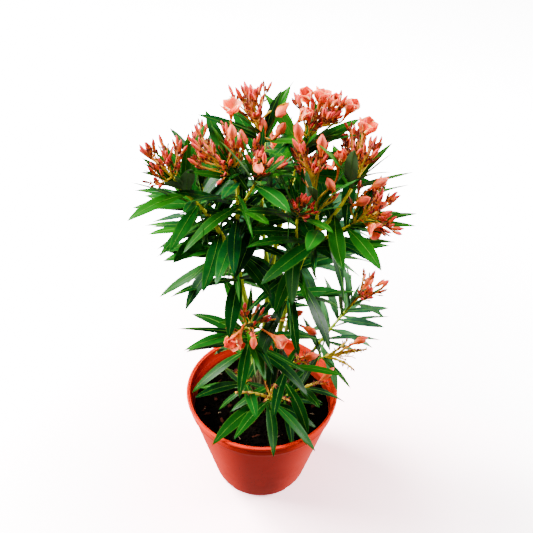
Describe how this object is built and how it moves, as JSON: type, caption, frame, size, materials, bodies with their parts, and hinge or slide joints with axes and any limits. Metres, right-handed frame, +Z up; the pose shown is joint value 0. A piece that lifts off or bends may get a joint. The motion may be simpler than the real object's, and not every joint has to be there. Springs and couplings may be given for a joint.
{
  "type": "potted_plant",
  "caption": "Potted oleander in flower: slim green stems with whorled narrow leaves and heads of salmon-pink buds and flowers, in an orange-red nursery pot filled with dark soil.",
  "frame": {"origin": "centre of the flat round panel on the pot's underside, on the ground", "axes": "+Z up along the pot's axis; -Y is the side seen in the picture, with one foot of the pot in its middle; +X is to the right of that view"},
  "size_m": [0.3748, 0.3471, 0.7028],
  "materials": {
    "pot": "thin moulded orange-red nursery pot, softly glossy, browner low down and dusty",
    "soil": "near-black crumbly potting soil with reddish bark chips and pale straw bits",
    "stem": "green-olive young bark, greyer and browner near the soil, with leaf scars",
    "foliage": "leathery dark green leaves with a pale midrib, salmon-pink buds and flowers"
  },
  "bodies": {
    "root": {"pot": "pot", "soil": "soil", "stem_back": "stem", "stem_back_left": "stem", "stem_back_right": "stem", "stem_centre": "stem", "stem_front": "stem", "stem_front_left": "stem", "stem_front_right": "stem", "stem_left": "stem", "stem_low_back": "stem", "stem_low_front": "stem", "stem_low_middle": "stem", "stem_low_right": "stem", "stem_right": "stem", "bough_centre_left": "stem", "bough_low_side": "stem", "bough_right_high": "stem", "bough_right_low": "stem", "bough_top": "stem", "foliage_back": "foliage", "foliage_back_left": "foliage", "foliage_back_right": "foliage", "foliage_centre": "foliage", "foliage_centre_left": "foliage", "foliage_front": "foliage", "foliage_front_left": "foliage", "foliage_front_right": "foliage", "foliage_left": "foliage", "foliage_low_back": "foliage", "foliage_low_front": "foliage", "foliage_low_middle": "foliage", "foliage_low_right": "foliage", "foliage_low_side": "foliage", "foliage_right": "foliage", "foliage_right_high": "foliage", "foliage_right_low": "foliage", "foliage_top": "foliage"}
  },
  "joints": []
}
